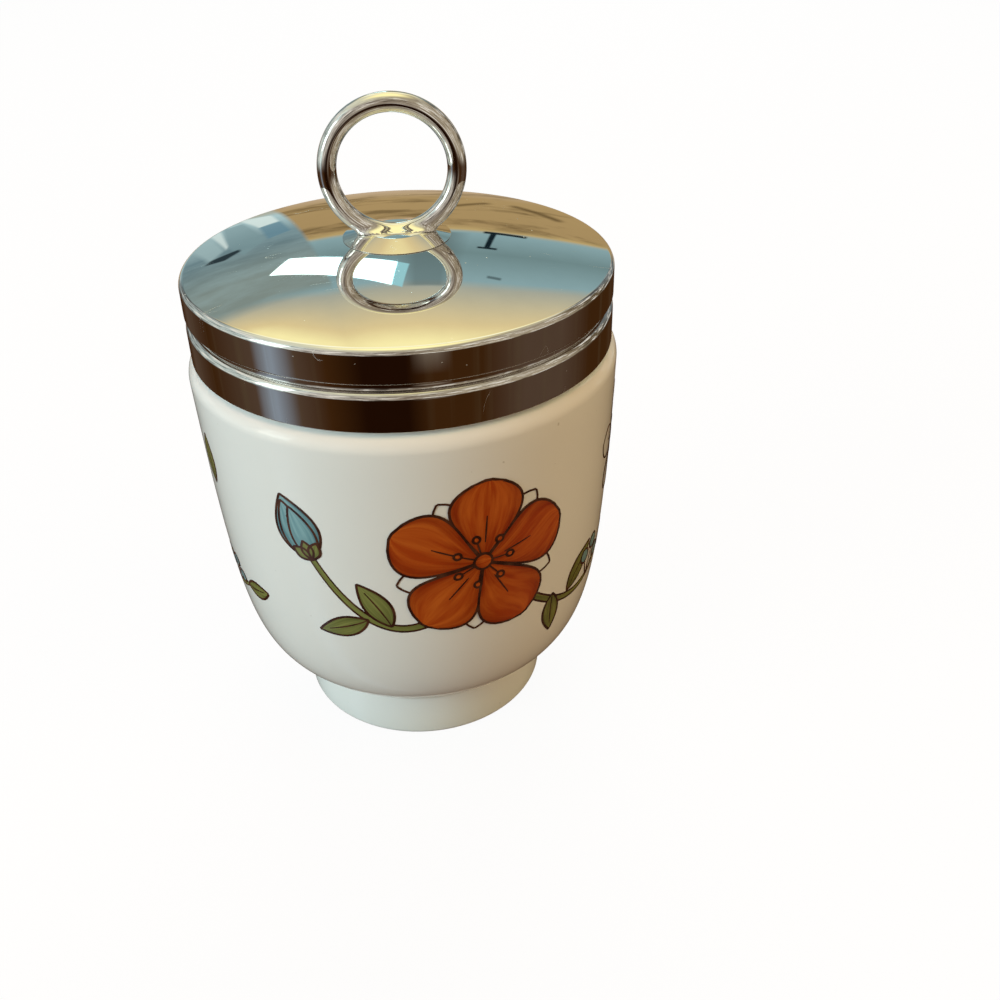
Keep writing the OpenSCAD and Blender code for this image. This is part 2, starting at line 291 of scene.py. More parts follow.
# The bowl's curve with its direction, the wall inside it, and where the curve leaves the crease
# and meets the shoulder
bowl = np.array(bowl_line)
bowl_t = np.linspace(0, 1, bowl_steps + 1)
bowl_points = np.array(curve(bowl_line, bowl_steps))
bowl_way = np.array([(1 - t) ** 2 * (bowl[1] - bowl[0]) + 2 * (1 - t) * t * (bowl[2] - bowl[1])
                     + t * t * (bowl[3] - bowl[2]) for t in bowl_t])
bowl_way /= np.linalg.norm(bowl_way, axis=1)[:, None]
inner_wall = bowl_points + bowl_wall * np.stack([-bowl_way[:, 1], bowl_way[:, 0]], 1)
inner_wall = inner_wall[inner_wall[:, 1] < throat_start]
throat_ease = (throat_end - inner_wall[-1, 1]) * 0.45
crease_out = np.array(curve(bowl_line, 1, 0, crease_share))[1]
bowl_top = float(np.interp(shoulder_height - shoulder_round, bowl_points[:, 1], bowl_t))
bowl_edge = curve(bowl_line, 1, 0, bowl_top)[1]
inside_foot = foot_radius - foot_land
cup_profile = (
    softened([(0, foot_recess), (inside_foot, foot_recess), (inside_foot, foot_round)], foot_round)
    + arc((inside_foot + foot_round, foot_round), foot_round, 180, 270)
    + arc((foot_radius - foot_round, foot_round), foot_round, 270, 360)
    + curve(foot_wall, 10)
    + curve([*crease_foot, tuple(crease_out - 0.0003 * bowl_way[0]), tuple(crease_out)], 6)[:-1]
    + curve(bowl_line, bowl_steps, crease_share, bowl_top)
    + arc((bowl_edge[0] - shoulder_round, bowl_edge[1]), shoulder_round, 5, 90, 14)
    + softened([(neck_radius + neck_fillet, shoulder_height), (neck_radius, shoulder_height),
                (neck_radius, rim_height - rim_round)], 0.0006)[1:]
    + arc((neck_radius - rim_round, rim_height - rim_round), rim_round, 10, 90)
    + arc((mouth_radius + rim_round, rim_height - rim_round), rim_round, 90, 180)
    + curve([(mouth_radius, throat_end), (mouth_radius, throat_end - throat_ease),
             tuple(inner_wall[-1] + (0, throat_ease)), tuple(inner_wall[-1])], 14)
    + [tuple(p) for p in inner_wall[-2:0:-1]]
    + curve([tuple(floor_edge), tuple(floor_edge - floor_ease * bowl_way[0]),
             (floor_edge[0] * floor_flat, bowl_floor), (0, bowl_floor)], 14))
cup = turn("cup_porcelain", threaded(cup_profile, neck_radius), glazed_porcelain(),
           **{"Thread Height": thread_height, "Start Height": neck_thread_start})
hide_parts("cup")
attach(cup, "cup")

# ---------------------------------------------------------------------------------------------
# Printed flowers
# Enamel transfers fired onto the glaze: blossoms, buds, leaves and berries on curved stems, each
# shape a thin film of colour under a dark outline. Shapes that overlap lie in layers.

film_rise, film_layer, film_sunk = 0.00001, 0.000012, 0.00006
outline_width = 0.00042
leaf_form = {"fullest": 0.9, "blunt": 0.9, "veins": [(0.5, 0.0, 0.86)]}
bowl_run = np.array(curve(bowl_line, 600))
bowl_length = np.concatenate([[0], np.cumsum(np.linalg.norm(np.diff(bowl_run, axis=0), axis=1))])
bowl_out = np.gradient(bowl_run, axis=0)[:, ::-1] * (1, -1)
bowl_out /= np.linalg.norm(bowl_out, axis=1)[:, None]
films = {"orange": [], "teal": [], "olive": [], "outline": []}


def on_bowl(spray, flat, lift):
    """Points of a flat drawing laid on the bowl round a spray's place, lifted off the glaze."""
    bearing, height = math.radians(spray[0]), spray[1]
    run = np.interp(height, bowl_run[:, 1], bowl_length) + flat[..., 1]
    radius, z = (np.interp(run, bowl_length, bowl_run[:, k]) for k in (0, 1))
    out, up = (np.interp(run, bowl_length, bowl_out[:, k]) for k in (0, 1))
    a = bearing + flat[..., 0] / radius
    return np.stack([(radius + lift * out) * np.sin(a), -(radius + lift * out) * np.cos(a), z + lift * up], -1)


def film(colour, spray, grid, layer, looped=False):
    """One closed film over a grid of flat points, with how far along and across each point is."""
    rows, columns = grid.shape[:2]
    lift = film_rise + film_layer * layer
    top, bottom = on_bowl(spray, grid, lift), on_bowl(spray, grid, -film_sunk)
    index = np.arange(rows * columns).reshape(rows, columns)
    if looped:
        index = np.vstack([index, index[:1]])
    under = index + rows * columns
    faces = [np.stack([index[:-1, :-1], index[1:, :-1], index[1:, 1:], index[:-1, 1:]], -1).reshape(-1, 4),
             np.stack([under[:-1, :-1], under[:-1, 1:], under[1:, 1:], under[1:, :-1]], -1).reshape(-1, 4),
             np.stack([index[1:, 0], index[:-1, 0], under[:-1, 0], under[1:, 0]], -1),
             np.stack([index[:-1, -1], index[1:, -1], under[1:, -1], under[:-1, -1]], -1)]
    if not looped:
        faces += [np.stack([index[0, :-1], index[0, 1:], under[0, 1:], under[0, :-1]], -1),
                  np.stack([index[-1, 1:], index[-1, :-1], under[-1, :-1], under[-1, 1:]], -1)]
    along, across = np.meshgrid(np.linspace(0, 1, rows), np.linspace(0, 1, columns), indexing="ij")
    marks = np.stack([along.ravel(), across.ravel()], -1)
    points = np.vstack([top.reshape(-1, 3), bottom.reshape(-1, 3)])
    films[colour].append((points, np.vstack(faces)[:, ::-1], np.vstack([marks, marks])))


def sideways(path, looped=False):
    """Unit steps to the left of the way that a path goes."""
    way = np.roll(path, -1, 0) - np.roll(path, 1, 0) if looped else np.gradient(path, axis=0)
    way /= np.maximum(np.linalg.norm(way, axis=1), 1e-9)[:, None]
    return np.stack([-way[:, 1], way[:, 0]], -1)


def line(spray, path, layer, looped=False, width=outline_width):
    """A drawn line along flat points, a little wider in the middle of a stroke."""
    swell = 1.0 if looped else 0.55 + 0.45 * np.sin(np.linspace(0.15, math.pi - 0.15, len(path)))
    half = (width / 2 * swell * np.ones(len(path)))[:, None, None]
    across = np.array([1.0, -1.0])[None, :, None]
    film("outline", spray, path[:, None, :] + sideways(path, looped)[:, None, :] * half * across, layer, looped)


def leaf_shape(at, angle, length, width, bend=0.0, fullest=1.0, blunt=0.8, rows=22, columns=13):
    """A flat grid shaped like a petal or a leaf: from its foot along an angle, bent, and widest where told."""
    t = np.linspace(0.004, 0.996, rows)[:, None]
    a = math.radians(angle)
    ahead, aside = np.array([math.cos(a), math.sin(a)]), np.array([-math.sin(a), math.cos(a)])
    middle = np.array(at) + length * (t * ahead + bend * t * (1 - 0.35 * t) * t * aside)
    half = width / 2 * np.sin(math.pi * t ** fullest) ** blunt
    across = np.linspace(-1, 1, columns)[None, :, None]
    return middle[:, None, :] - sideways(middle)[:, None, :] * half[:, :, None] * across


def edge_of(grid):
    """The closed line round a grid."""
    return np.vstack([grid[:, 0], grid[::-1, -1]])


def petal(colour, spray, layer, veins=(), **shape):
    """A filled and outlined petal or leaf, with drawn veins at shares of its width."""
    grid = leaf_shape(**shape)
    if colour:
        film(colour, spray, grid, layer)
    line(spray, edge_of(grid), layer + 0.5, True, outline_width if colour else outline_width * 0.75)
    for share, start, stop in veins:
        spine = grid[:, 0] * (1 - share) + grid[:, -1] * share
        count = len(spine)
        line(spray, spine[int(start * count):int(stop * count)], layer + 0.6, width=outline_width * 0.7)


def stem(spray, points, width, layer):
    """A stem along a smooth curve through four pulls, with a drawn edge on both sides."""
    path = np.array(curve(points, 30))
    half = width / 2 * (1.0 - 0.35 * np.linspace(0, 1, len(path)))[:, None, None]
    grid = path[:, None, :] - sideways(path)[:, None, :] * half * np.linspace(-1, 1, 5)[None, :, None]
    film("olive", spray, grid, layer)
    for edge in (0, -1):
        line(spray, grid[:, edge], layer + 0.5, width=outline_width * 0.9)


def blossom(spray, at, size, turned, layer, filled=True):
    """An open blossom of five petals round a ring of stamens, filled over unfilled sepals, or left unfilled."""
    if filled:
        for k in range(5):
            petal(None, spray, layer, at=at, angle=turned + 36 + 72 * k, length=size * 0.93, width=size * 0.42,
                  fullest=1.3, blunt=0.7)
    for k in (0, 2, 4, 1, 3):
        petal("orange" if filled else None, spray, layer + 1.5 + k, veins=[(0.5, 0.25, 0.62)], at=at,
              angle=turned + 72 * k, length=size * (1.0 + 0.05 * (k % 2)), width=size * (0.80 if filled else 0.60),
              bend=0.05 * (-1) ** k, fullest=1.75, blunt=0.62)
    for k in range(7):
        a = math.radians(turned + 20 + 360 / 7 * k)
        tip = np.array(at) + size * 0.26 * np.array([math.cos(a), math.sin(a)])
        line(spray, np.linspace(np.array(at), tip, 6), layer + 7, width=outline_width * 0.7)
        petal("orange", spray, layer + 7.2, at=tuple(tip), angle=math.degrees(a), length=size * 0.085,
              width=size * 0.075, blunt=0.5, rows=8, columns=4)
    petal("orange", spray, layer + 8.2, at=(at[0] - size * 0.1, at[1]), angle=0, length=size * 0.2, width=size * 0.2,
          blunt=0.5)


def bud(spray, at, angle, size, layer):
    """A closed bud: two teal petals folded over a third, in a small green cup."""
    for up, lean, length, width, bend, blunt, veins in (
            (0, 0, 1.0, 0.62, 0.0, 0.9, ()), (1, 13, 0.9, 0.42, -0.3, 0.85, [(0.45, 0.2, 0.8)]),
            (2, -14, 0.8, 0.36, 0.3, 0.85, ())):
        petal("teal", spray, layer + up, veins=veins, at=at, angle=angle + lean, length=size * length,
              width=size * width, bend=bend, fullest=0.85, blunt=blunt)
    for lean in (-38, 38, 0):
        petal("olive", spray, layer + 3.2, at=at, angle=angle + lean, length=size * 0.3, width=size * 0.17, blunt=1.0,
              rows=10, columns=5)


def berries(spray, at, angle, size, layer):
    """Three round berries on short stalks."""
    for k, reach in ((-32, 0.8), (28, 0.85), (-3, 1.15)):
        a = math.radians(angle + k)
        tip = np.array(at) + size * reach * np.array([math.cos(a), math.sin(a)])
        line(spray, np.linspace(np.array(at), tip, 8), layer)
        petal("teal", spray, layer + 1, at=tuple(tip), angle=angle + k, length=size * 0.62, width=size * 0.6,
              blunt=0.5)


def spray_of_flowers(bearing, height, size=1.0, flip=1):
    """One spray: a blossom, a bud on a long stem, and a leafy stem that ends in berries."""
    spray = (bearing, height)

    def mm(x, y):
        return (0.001 * size * flip * x, 0.001 * size * y)

    def way(angle):
        return angle if flip > 0 else 180 - angle

    stem(spray, [mm(-1, -1), mm(-7, -12), mm(-15, -13), mm(-23, 1.5)], 0.0014 * size, 0)
    stem(spray, [mm(2, -2), mm(10, -12), mm(17, -17), mm(27, -11)], 0.0013 * size, 0)
    for at, angle, length, bend in (
            ((-12.6, -8.9), 112, 8.5, 0.25), ((-15.8, -7.9), 214, 8.0, -0.25), ((15.5, -12.3), 52, 8.5, -0.25),
            ((12, -10.5), 262, 7.5, 0.2), ((27, -11.2), 8, 8.0, 0.2)):
        petal("olive", spray, 2, at=mm(*at), angle=way(angle), length=0.001 * size * length,
              width=0.00043 * size * length, bend=bend * flip, **leaf_form)
    berries(spray, mm(21.5, -13.6), way(75), 0.0042 * size, 3)
    bud(spray, mm(-23, 1.5), way(112), 0.0105 * size, 4)
    blossom(spray, mm(0, 1), 0.0128 * size, way(84), 6)


spray_of_flowers(16.5, 0.0435, 1.12)
spray_of_flowers(141, 0.0395, 0.95, -1)
spray_of_flowers(-104, 0.0415, 0.9)
blossom((79, 0.0505), (0, 0), 0.009, 20, 2, filled=False)
petal("olive", (-66.5, 0.0500), 2, at=(0, 0), angle=100, length=0.0085, width=0.0038, bend=-0.2, **leaf_form)


def enamel(name, light, middle, dark):
    """Fired colour, brushed along the shape: lighter streaks in the middle, darker to its foot and its edges."""
    material, tree, shader, here = new_finish(name)
    drawn = wire(tree, "ShaderNodeUVMap", uv_map="drawn").outputs[0]
    share = wire(tree, "ShaderNodeSeparateXYZ", {0: drawn}).outputs
    wide = wire(tree, "ShaderNodeVectorMath", {0: here, 1: (90.0,) * 3}, operation="MULTIPLY").outputs[0]
    stroke = wire(tree, "ShaderNodeVectorMath", {0: drawn, 1: wide}, operation="ADD").outputs[0]
    streaks = noise(tree, stroke, 1.3, 3, 0.55, (0.5, 6.0, 1.0))
    from_middle = sums(tree, "ABSOLUTE", sums(tree, "SUBTRACT", share["Y"], 0.5))
    rim = spread(tree, from_middle, 0.22, 0.5, 0, 0.75, "SMOOTHSTEP")
    foot = spread(tree, share["X"], 0.5, 0.0, 0, 0.8)
    depth = sums(tree, "MAXIMUM", rim, foot)
    colour = blended(tree, spread(tree, streaks, 0.36, 0.68), middle, light)
    colour = blended(tree, product(tree, depth, spread(tree, streaks, 0.25, 0.6, 1.15, 0.5)), colour, dark)
    tree.links.new(colour, shader.inputs["Base Color"])
    tree.links.new(spread(tree, streaks, 0.3, 0.7, 0.1, 0.2), shader.inputs["Roughness"])
    shader.inputs["IOR"].default_value = glaze_bend
    return material


def drawn_line():
    """Dark brown line colour, a little uneven."""
    material, tree, shader, here = new_finish("Drawn line")
    uneven = spread(tree, noise(tree, here, 500, 3), 0.4, 0.7)
    tree.links.new(blended(tree, uneven, (0.035, 0.010, 0.006), (0.085, 0.030, 0.016)), shader.inputs["Base Color"])
    shader.inputs["Roughness"].default_value = 0.18
    return material


enamels = {"orange": enamel("Orange enamel", (0.54, 0.115, 0.014), (0.37, 0.050, 0.006), (0.17, 0.012, 0.003)),
           "teal": enamel("Teal enamel", (0.25, 0.41, 0.43), (0.14, 0.28, 0.31), (0.05, 0.13, 0.16)),
           "olive": enamel("Olive enamel", (0.235, 0.24, 0.07), (0.14, 0.15, 0.04), (0.055, 0.065, 0.016)),
           "outline": drawn_line()}
for colour, shapes in films.items():
    starts = np.cumsum([0] + [len(points) for points, _, _ in shapes])
    mesh = bpy.data.meshes.new("print_" + colour)
    mesh.from_pydata(np.vstack([points for points, _, _ in shapes]).tolist(), [],
                     np.vstack([faces + start for (_, faces, _), start in zip(shapes, starts)]).tolist())
    marks = np.vstack([mark for _, _, mark in shapes])
    corners = np.empty(len(mesh.loops), int)
    mesh.loops.foreach_get("vertex_index", corners)
    mesh.uv_layers.new(name="drawn").data.foreach_set("uv", marks[corners].astype(np.float32).ravel())
    mesh.materials.append(enamels[colour])
    print_film = placed("print_" + colour, mesh)
    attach(print_film, "cup")

# ---------------------------------------------------------------------------------------------
# Lid shell
# One pressed sheet of polished metal: a low dome, an upper band, a rolled groove, and a lower
# band that is hemmed under the threaded liner.

lid_radius, lid_foot, sheet = 0.033, 0.0677, 0.0005
dome_radius, dome_centre, corner_round = 0.149, -0.06543, 0.001
corner_height = 0.07907
bead_height, bead_radius, bead_end = 0.07255, 0.00115, 80
groove_radius, lip_height = 0.03205, 0.07488
hem_round, press_round = 0.0002, 0.0003
hem_edge, hem_thickness = 0.031075, 0.0004
rivet_hole = 0.00155
polished_colour = (0.80, 0.785, 0.75)


def on_dome(radius, inset=0.0):
    """Height of the dome's outer face, or of a face set in from it, at a distance from the axis."""
    return dome_centre + math.sqrt((dome_radius - inset) ** 2 - radius ** 2)


def polished_metal(name, colour, smooth, worn, waves):
    """Mirror-bright plating with faint waves of the pressing, a haze of wiping scratches and specks of dust."""
    material, tree, shader, here = new_finish(name)
    shader.inputs["Metallic"].default_value = 1.0
    haze = noise(tree, here, 260, 5, 0.6)
    colour = blended(tree, spread(tree, haze, 0.3, 0.7), colour, tuple(c * 0.96 for c in colour))
    cells = wire(tree, "ShaderNodeTexVoronoi", {"Vector": here, "Scale": 620.0})
    chosen = wire(tree, "ShaderNodeSeparateColor", {0: cells.outputs["Color"]}).outputs[0]
    near = spread(tree, cells.outputs["Distance"], 0.10, 0.04)
    dust = product(tree, near, spread(tree, chosen, 0.90, 0.93))
    hair = sums(tree, "ABSOLUTE", sums(tree, "SUBTRACT", noise(tree, here, 70, 1, 0.5, (1.0, 5.0, 1.0)), 0.5))
    sparse = spread(tree, noise(tree, here, 130, 1), 0.60, 0.66)
    hair = product(tree, spread(tree, hair, 0.0028, 0.0010), sparse)
    dust = sums(tree, "MAXIMUM", dust, product(tree, hair, 0.7))
    colour = blended(tree, dust, colour, (0.95, 0.93, 0.88))
    tree.links.new(colour, shader.inputs["Base Color"])
    wiping = noise(tree, here, 60, 6, 0.75, (1.0, 9.0, 1.0))
    gloss = spread(tree, wiping, 0.45, 0.75, smooth, worn)
    tree.links.new(sums(tree, "ADD", gloss, product(tree, dust, 0.6)), shader.inputs["Roughness"])
    shape = sums(tree, "ADD", noise(tree, here, 45, 1), product(tree, dust, 0.05))
    relief(tree, shader, shape, waves, 0.0002)
    return material


polished_lid = polished_metal("Polished lid", polished_colour, 0.012, 0.05, 0.03)
dome_tip = math.degrees(math.acos((lid_radius - corner_round) / (dome_radius - corner_round)))
hole_tip = math.degrees(math.acos(rivet_hole / dome_radius))
shell_outside = (
    softened([(hem_edge, lid_foot + hem_thickness), (hem_edge, lid_foot), (lid_radius, lid_foot),
              (lid_radius, bead_height)], hem_round)
    + arc((lid_radius - bead_radius, bead_height), bead_radius, 4, bead_end, 12)
    + softened([(groove_radius - 0.00002, bead_height + 0.00118), (groove_radius, lip_height),
                (lid_radius, lip_height), (lid_radius, corner_height)], press_round)
    + arc((lid_radius - corner_round, corner_height), corner_round, 4, dome_tip, 12)
    + arc((0, dome_centre), dome_radius, dome_tip + 0.05, hole_tip, 60))
shell_inside = (
    arc((0, dome_centre), dome_radius - sheet, hole_tip, dome_tip, 40)
    + arc((lid_radius - corner_round, corner_height), corner_round - sheet, dome_tip - 10, 0, 6)
    + softened([(lid_radius - sheet, corner_height - 0.0001), (lid_radius - sheet, lip_height + 2 * sheet),
                (groove_radius - sheet, lip_height + sheet), (groove_radius - sheet, bead_height + sheet),
                (lid_radius - sheet, bead_height - sheet), (lid_radius - sheet, lid_foot + hem_thickness),
                (hem_edge, lid_foot + hem_thickness)], hem_round))
lid_shell = turn("lid_shell_polished", shell_inside[:-1] + shell_outside + shell_inside[:1], polished_lid, 256)
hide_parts("lid_shell")
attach(lid_shell, "lid")

# ---------------------------------------------------------------------------------------------
# Threaded liner
# A thin ring of satin metal inside the skirt, rolled with the lid's thread. The shell's hem holds
# it by its flange.

liner_bore, liner_radius, liner_flange = 0.03065, 0.0315, 0.03245
liner_foot, liner_flange_top, liner_top = 0.06815, 0.06905, 0.07865
liner_thread_start = shoulder_height + 0.0027


def satin_metal(name, colour, rough):
    """Turned or rolled metal with fine lines round it, left satin."""
    material, tree, shader, here = new_finish(name)
    shader.inputs["Metallic"].default_value = 1.0
    lines = noise(tree, here, 300, 4, 0.6, (0.15, 0.15, 9.0))
    colour = blended(tree, spread(tree, lines, 0.3, 0.7), colour, tuple(c * 0.86 for c in colour))
    tree.links.new(colour, shader.inputs["Base Color"])
    tree.links.new(spread(tree, lines, 0.3, 0.7, rough * 0.8, rough * 1.25), shader.inputs["Roughness"])
    relief(tree, shader, lines, 0.2, 0.00003)
    return material


liner_profile = softened([(liner_bore, liner_foot), (liner_flange, liner_foot), (liner_flange, liner_flange_top),
                          (liner_radius, liner_flange_top), (liner_radius, liner_top), (liner_bore, liner_top)],
                         0.00015, closed=True)
liner_profile = liner_profile[2:] + liner_profile[1:3]
satin_liner = satin_metal("Satin liner", (0.72, 0.72, 0.72), 0.32)
liner = turn("thread_liner", threaded(liner_profile, liner_bore), satin_liner,
             **{"Thread Height": -thread_height, "Start Height": liner_thread_start, "Start Turn": 0.45})
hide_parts("thread_ring")
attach(liner, "lid")

# ---------------------------------------------------------------------------------------------
# Sealing washer
# A flat ring punched from soft sheet. It lies loose above the liner and meets the cup's rim.

seal_inside, seal_outside, seal_foot, seal_top = 0.02685, 0.03145, 0.0788, 0.07965


def soft_sheet():
    """Off-white rubber with a faint bloom and the marks of the rim."""
    material, tree, shader, here = new_finish("Seal rubber")
    bloom = noise(tree, here, 140, 5, 0.6)
    colour = blended(tree, spread(tree, bloom, 0.35, 0.7), (0.66, 0.63, 0.56), (0.58, 0.55, 0.48))
    tree.links.new(colour, shader.inputs["Base Color"])
    tree.links.new(spread(tree, bloom, 0.3, 0.7, 0.42, 0.6), shader.inputs["Roughness"])
    relief(tree, shader, noise(tree, here, 2600, 3), 0.25, 0.00004)
    return material


seal = turn("seal_ring", softened([(seal_inside, seal_foot), (seal_outside, seal_foot), (seal_outside, seal_top),
                                   (seal_inside, seal_top)], 0.00018, closed=True), soft_sheet(), 160)
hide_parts("seal_washer")
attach(seal, "seal")

# ---------------------------------------------------------------------------------------------
# Handle disc
# A low disc of polished metal, dished below to sit on the dome and sloped off towards its edge,
# that carries the ring. It is countersunk for the rivet.

disc_radius, disc_top, disc_flat = 0.0082, 0.0844, 0.0043
rivet_radius, rivet_head, head_depth, fit = 0.0015, 0.0023, 0.00073, 0.00005
polished_handle = polished_metal("Polished handle", (0.79, 0.77, 0.735), 0.03, 0.09, 0.06)
seat = [(r, on_dome(r) + fit / 2) for r in np.linspace(rivet_radius + fit, disc_radius - 0.0002, 16)]
disc_slope = [(disc_radius, on_dome(disc_radius) + 0.0001), (disc_flat, disc_top)]
disc_profile = seat + softened([
    (disc_radius - 0.0001, on_dome(disc_radius) + fit / 2), (disc_radius, on_dome(disc_radius) + fit), *disc_slope,
    (rivet_head + fit, disc_top), (rivet_radius + fit, disc_top - head_depth), seat[0]], 0.0001)
disc = turn("handle_disc_polished", disc_profile, polished_handle, 160)
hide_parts("handle_disc")
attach(disc, "lid")

# ---------------------------------------------------------------------------------------------
# Handle ring
# Round wire bent to a ring, its joint ground flat and brazed upright on the disc, then polished
# and plated with it.

ring_radius, wire_radius, ring_height = 0.00951, 0.001425, 0.093435
ring_steps, wire_steps = 240, 48
braze_height, braze_reach = 0.0010, 0.0008


def handle_ring():
    """The ring's wire, flat where it meets the disc, with a hollow fillet of braze round the joint."""
    a = np.linspace(0, 2 * math.pi, ring_steps, endpoint=False)[:, None]
    b = np.linspace(0, 2 * math.pi, wire_steps, endpoint=False)[None, :]
    way = np.stack([np.cos(a) * np.cos(b), np.sin(b) + 0 * a, np.sin(a) * np.cos(b)], 2)
    middle = np.stack([np.cos(a) + 0 * b, 0 * (a + b), np.sin(a) + 0 * b], 2) * ring_radius + (0, 0, ring_height)
    points = middle + way * wire_radius
    slope = np.array(disc_slope[::-1])
    face = np.interp(np.hypot(points[:, :, 0], points[:, :, 1]), slope[:, 0], slope[:, 1])
    above = np.clip((points[:, :, 2] - face) / braze_height, 0, 1)
    near = (1 - above) ** 2 * (points[:, :, 2] < ring_height - 0.004)
    flat = way * (1, 1, 0)
    flat = flat / np.maximum(np.linalg.norm(flat, axis=2, keepdims=True), 1e-6)
    points += flat * (near * braze_reach * np.abs(way[:, :, 1]) ** 0.5)[:, :, None]
    points[:, :, 2] = np.maximum(points[:, :, 2], face - 0.00004)
    index = np.arange(ring_steps * wire_steps).reshape(ring_steps, wire_steps)
    after, beside = np.roll(index, -1, 0), np.roll(index, -1, 1)
    faces = np.stack([index, beside, np.roll(beside, -1, 0), after], 2).reshape(-1, 4)
    mesh = bpy.data.meshes.new("handle_ring_polished")
    mesh.from_pydata(points.reshape(-1, 3).tolist(), [], faces.tolist())
    mesh.polygons.foreach_set("use_smooth", [True] * len(mesh.polygons))
    mesh.materials.append(polished_handle)
    return placed("handle_ring_polished", mesh)


ring = handle_ring()
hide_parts("handle_ring")
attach(ring, "lid")

# ---------------------------------------------------------------------------------------------
# Rivet and backing washer
# One steel rivet holds the disc through the lid. Its tail is turned over on a flat washer inside.

washer_radius, washer_foot, washer_top = 0.0045, 0.08215, 0.08295
tail_height, tail_taper = 0.0009, 0.0006
rivet_steel = satin_metal("Rivet steel", (0.60, 0.59, 0.57), 0.3)
rivet = turn("handle_rivet_steel", softened(
    [(0, washer_foot - tail_height), (rivet_head - tail_taper, washer_foot - tail_height),
     (rivet_head, washer_foot - fit), (rivet_radius, washer_foot - fit), (rivet_radius, disc_top - head_depth),
     (rivet_head, disc_top - fit), (0, disc_top - fit)], 0.0003), rivet_steel, 64)
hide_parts("handle_rivet")
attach(rivet, "lid")
washer = turn("backing_washer_steel", softened(
    [(rivet_radius + fit, washer_foot), (washer_radius, washer_foot), (washer_radius, washer_top),
     (rivet_radius + fit, washer_top)], 0.00015, closed=True), rivet_steel, 96)
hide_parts("backing_washer")
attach(washer, "lid")

# ---------------------------------------------------------------------------------------------
# Stage
# A plain pale floor, and a painted room that only polished surfaces see: a brown table top, a
# wooden wall with blue-grey light above it, windows, and a pale ceiling.

floor_glow = 0.94
window_strength, side_strength, overhead_strength = 9.0, 2.2, 0.5


def glow(name):
    """A material that only gives out light."""
    material = bpy.data.materials.new(name)
    material.use_nodes = True
    tree = material.node_tree
    tree.nodes.remove(tree.nodes["Principled BSDF"])
    return material, tree, tree.nodes["Material Output"]


floor_mesh = bpy.data.meshes.new("floor")
floor_mesh.from_pydata([(-6, -6, 0), (6, -6, 0), (6, 6, 0), (-6, 6, 0)], [], [(0, 1, 2, 3)])
floor = placed("floor", floor_mesh)
floor_white, tree, end = glow("Pale floor")
seen = wire(tree, "ShaderNodeLightPath").outputs["Is Camera Ray"]
matt = wire(tree, "ShaderNodeBsdfDiffuse", {"Color": (0.9, 0.9, 0.9, 1)}).outputs[0]
white = wire(tree, "ShaderNodeEmission", {"Color": (1, 1, 1, 1), "Strength": 1.0}).outputs[0]
pale = wire(tree, "ShaderNodeMixShader", {0: floor_glow, 1: matt, 2: white}).outputs[0]
table_top = wire(tree, "ShaderNodeBsdfDiffuse", {"Color": (0.30, 0.22, 0.17, 1)}).outputs[0]
tree.links.new(wire(tree, "ShaderNodeMixShader", {0: seen, 1: table_top, 2: pale}).outputs[0], end.inputs["Surface"])
floor_mesh.materials.append(floor_white)
floor.visible_glossy = False

room_radius, room_centre, lid_shine = 3.0, (0.0, 0.0, 0.08), 0.78
room_paints = {
    "dark wood": "3a2413", "plaster": "b8a48c", "wood": "a2895e", "pale wood": "bba470", "knot": "5a4628",
    "blue": "84a2a8", "slate": "6c8689", "stone": "a2a598", "straw": "d9c694", "cream": "f8eeb0", "ceiling": "fffde2",
    "sky": "a8c4c8", "deep slate": "5f7880", "ash": "7b8985", "steel": "6a92a4", "dusk": "65797b", "ink": "16242c",
    "bright": "e0f2f0", "cyan": "a2dde6", "umber": "1c0b03", "walnut": "38200c", "oak": "4b3a2e",
    "daylight": "8692a0", "drab": "8a7e70", "chalk": "b4b0aa", "mist": "b2bebb", "lead": "6d7476",
    "bronze": "5c4e38", "tan": "9e927e", "putty": "a9a088", "linen": "cdceba", "gap": "2e241a", "white": "fffaf0"}


def between(tree, value, low, high, soft):
    """1 where a value lies between two others, with a soft edge."""
    return product(tree, spread(tree, value, low - soft, low + soft), spread(tree, value, high + soft, high - soft))


def paint(name):
    """One of the room's paints, as the renderer holds it."""
    return tuple(((v / 255 + 0.055) / 1.055) ** 2.4 if v > 10 else v / 255 / 12.92
                 for v in bytes.fromhex(room_paints[name]))


def ramp(tree, value, low, high, stops):
    """Paints that run into each other along a value, brighter by what the polished metal takes away."""
    made = wire(tree, "ShaderNodeValToRGB", {0: spread(tree, value, low, high)})
    elements = made.color_ramp.elements
    elements.remove(elements[1])
    elements[0].position = 0.0
    for at, name in stops:
        elements.new((at - low) / (high - low)).color = (*(c / lid_shine for c in paint(name)), 1)
    elements.remove(elements[0])
    return made.outputs[0]


def within(tree, corners, soft=0.12):
    """1 inside a straight-sided convex figure, its corners given as bearing and height, with soft edges."""
    turned = sum(a * d - b * c for (a, b), (c, d) in zip(corners, corners[1:] + corners[:1]))
    corners = corners if turned > 0 else corners[::-1]
    shares = []
    for (a, b), (c, d) in zip(corners, corners[1:] + corners[:1]):
        length = math.hypot(c - a, d - b)
        off = sums(tree, "MULTIPLY_ADD", level, (c - a) / length, (a * (d - b) - b * (c - a)) / length)
        shares.append(spread(tree, sums(tree, "MULTIPLY_ADD", around, (b - d) / length, off), -soft, soft))
    return product(tree, *shares)


room_light, tree, end = glow("Room")
room = turn("room", arc((0, 0), room_radius, 90, -90, 32), room_light, 64)
room.location = room_centre
here = wire(tree, "ShaderNodeTexCoord").outputs["Object"]
way = wire(tree, "ShaderNodeVectorMath", {0: here}, operation="NORMALIZE").outputs[0]
spot = wire(tree, "ShaderNodeSeparateXYZ", {0: way}).outputs

